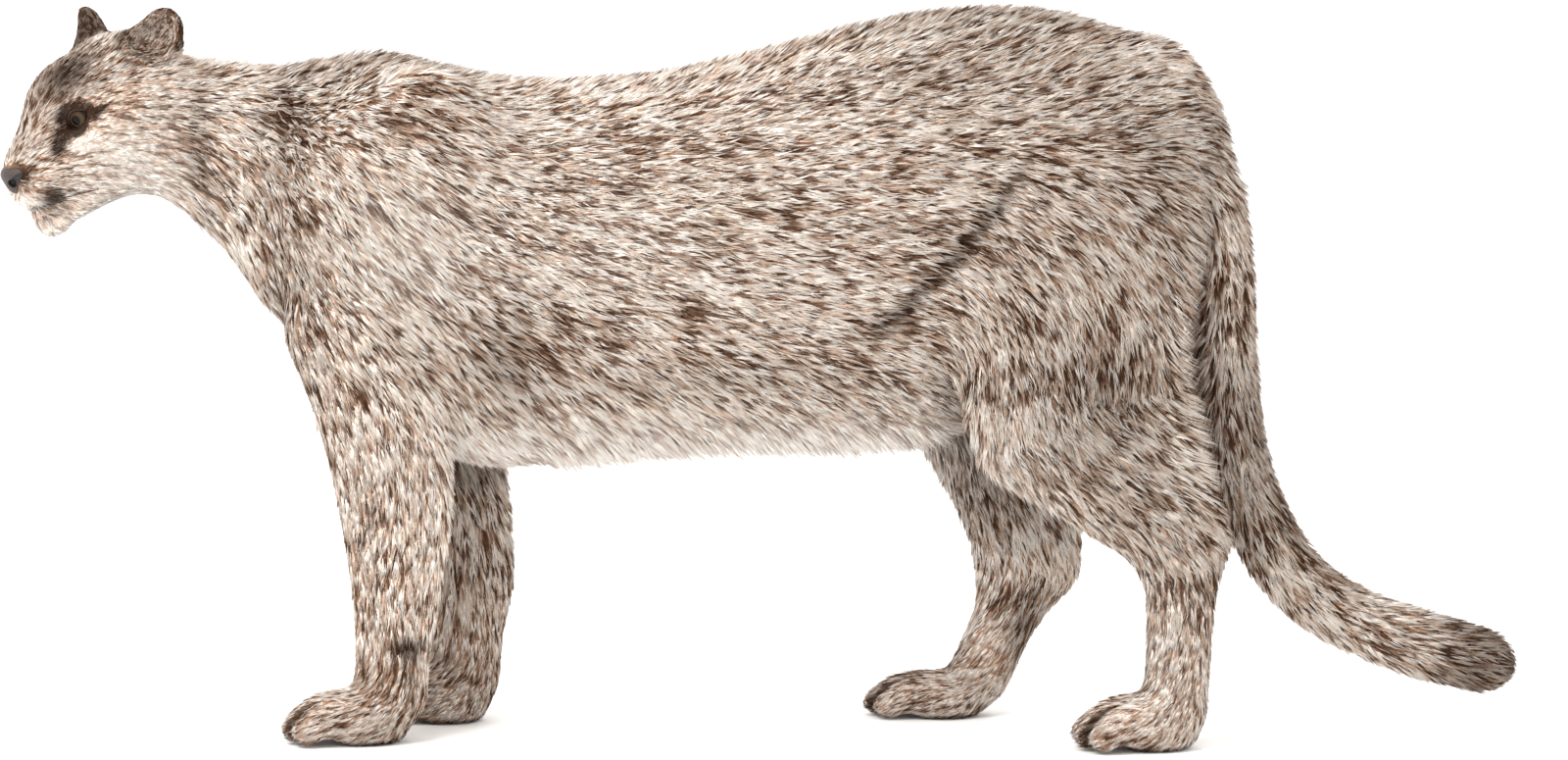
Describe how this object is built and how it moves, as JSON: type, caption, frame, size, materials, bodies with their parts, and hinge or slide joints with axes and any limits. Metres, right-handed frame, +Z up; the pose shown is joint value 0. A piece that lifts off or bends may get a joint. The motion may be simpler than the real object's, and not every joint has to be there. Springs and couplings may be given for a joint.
{
  "type": "cougar",
  "caption": "Standing adult cougar, life size: head turned a little aside and bowed, hind feet one ahead of the other, long tail hanging behind and curving up at its end.",
  "frame": {"origin": "on the ground under the middle of the animal's length and width", "axes": "+X towards the tail's tip, so the animal faces -X; +Y to the animal's right; +Z up"},
  "size_m": [1.533, 0.278, 0.7469],
  "materials": {
    "coat": "short dense grizzled grey-brown fur",
    "dark_coat": "short dark brown fur of the ear backs and tail tip",
    "pale_coat": "short cream fur of the chin and lower jaw",
    "nose_skin": "bare dark skin of the nose, slightly moist",
    "eye": "clear wet eye with an amber-brown iris and a round black pupil"
  },
  "bodies": {
    "root": {"belly": "coat", "chest": "coat", "ear_left": "dark_coat", "ear_right": "dark_coat", "eye_left": "eye", "eye_right": "eye", "foreleg_left_forearm": "coat", "foreleg_left_paw": "coat", "foreleg_left_shoulder": "coat", "foreleg_right_forearm": "coat", "foreleg_right_paw": "coat", "foreleg_right_shoulder": "coat", "head": "coat", "hindleg_left_metatarsus": "coat", "hindleg_left_paw": "coat", "hindleg_left_shank": "coat", "hindleg_left_thigh": "coat", "hindleg_right_metatarsus": "coat", "hindleg_right_paw": "coat", "hindleg_right_shank": "coat", "hindleg_right_thigh": "coat", "jaw": "pale_coat", "neck": "coat", "nose": "nose_skin", "rump": "coat", "tail_middle": "coat", "tail_root": "coat", "tail_tip": "dark_coat", "tail_upper": "coat"}
  },
  "joints": []
}
